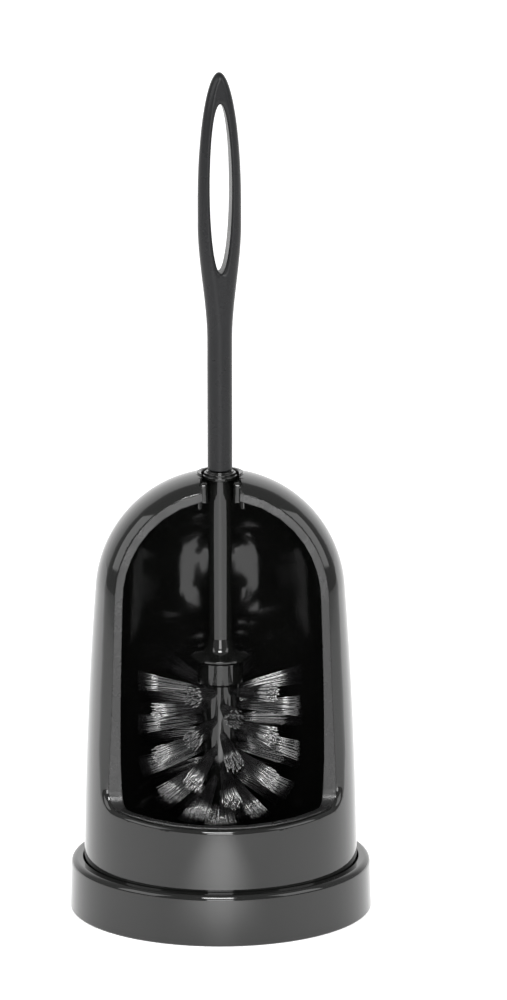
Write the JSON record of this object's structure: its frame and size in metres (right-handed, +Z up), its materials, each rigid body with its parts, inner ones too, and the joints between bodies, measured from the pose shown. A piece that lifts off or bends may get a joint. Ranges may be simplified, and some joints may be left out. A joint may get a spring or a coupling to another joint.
{
  "type": "toilet brush holder",
  "caption": "Bell-shaped toilet brush holder, open at the front, standing in a round tray, with a long-handled brush hanging from a slotted seat in its top.",
  "frame": {"origin": "centre of the tray's underside, on the floor", "axes": "+Z up along the bell's and brush's axis, -Y out of the holder's opening, +X to the right as seen from the front"},
  "size_m": [0.14, 0.14, 0.392],
  "materials": {
    "gloss_black_plastic": "moulded, high gloss",
    "satin_black_plastic": "moulded, satin",
    "black_bristle": "drawn filament, slightly shiny"
  },
  "bodies": {
    "tray": {"base_tray": "gloss_black_plastic"},
    "shell": {"holder_shell": "gloss_black_plastic"},
    "collar": {"stop_collar": "gloss_black_plastic"},
    "brush": {"grip": "satin_black_plastic", "rod": "gloss_black_plastic", "splash_guard": "gloss_black_plastic"},
    "head": {"head_core": "gloss_black_plastic", "bristle_tuft_1_1": "black_bristle", "bristle_tuft_1_2": "black_bristle", "bristle_tuft_1_3": "black_bristle", "bristle_tuft_1_4": "black_bristle", "bristle_tuft_1_5": "black_bristle", "bristle_tuft_1_6": "black_bristle", "bristle_tuft_2_1": "black_bristle", "bristle_tuft_2_2": "black_bristle", "bristle_tuft_2_3": "black_bristle", "bristle_tuft_2_4": "black_bristle", "bristle_tuft_2_5": "black_bristle", "bristle_tuft_2_6": "black_bristle", "bristle_tuft_3_1": "black_bristle", "bristle_tuft_3_2": "black_bristle", "bristle_tuft_3_3": "black_bristle", "bristle_tuft_3_4": "black_bristle", "bristle_tuft_3_5": "black_bristle", "bristle_tuft_3_6": "black_bristle", "bristle_tuft_4_1": "black_bristle", "bristle_tuft_4_2": "black_bristle", "bristle_tuft_4_3": "black_bristle", "bristle_tuft_4_4": "black_bristle", "bristle_tuft_4_5": "black_bristle", "bristle_tuft_4_6": "black_bristle", "bristle_tuft_5_1": "black_bristle", "bristle_tuft_5_2": "black_bristle", "bristle_tuft_5_3": "black_bristle", "bristle_tuft_5_4": "black_bristle", "bristle_tuft_5_5": "black_bristle", "bristle_tuft_5_6": "black_bristle", "bristle_tuft_6_1": "black_bristle", "bristle_tuft_6_2": "black_bristle", "bristle_tuft_6_3": "black_bristle", "bristle_tuft_6_4": "black_bristle", "bristle_tuft_6_5": "black_bristle", "bristle_tuft_6_6": "black_bristle", "bristle_tuft_7_1": "black_bristle", "bristle_tuft_7_2": "black_bristle", "bristle_tuft_7_3": "black_bristle", "bristle_tuft_7_4": "black_bristle", "bristle_tuft_7_5": "black_bristle", "bristle_tuft_7_6": "black_bristle", "bristle_tuft_8_1": "black_bristle", "bristle_tuft_8_2": "black_bristle", "bristle_tuft_8_3": "black_bristle", "bristle_tuft_8_4": "black_bristle", "bristle_tuft_8_5": "black_bristle", "bristle_tuft_8_6": "black_bristle", "bristle_tuft_9_1": "black_bristle", "bristle_tuft_9_2": "black_bristle", "bristle_tuft_9_3": "black_bristle", "bristle_tuft_10_1": "black_bristle"}
  },
  "joints": [
    {"name": "shell_lift", "type": "slide", "parent": "tray", "child": "shell", "axis": [0, 0, 1], "range_m": [0, 0.03]},
    {"name": "brush_withdraw", "type": "slide", "parent": "shell", "child": "collar", "axis": [0, -0.8944, 0.4472], "range_m": [0, 0.15]},
    {"name": "brush_spin", "type": "hinge", "parent": "collar", "child": "brush", "pos_m": [0, 0, 0.203], "axis": [0, 0, 1], "continuous": true},
    {"name": "head_unscrew", "type": "hinge", "parent": "brush", "child": "head", "pos_m": [0, 0, 0.11], "axis": [0, 0, -1], "range_deg": [0, 1080]}
  ]
}
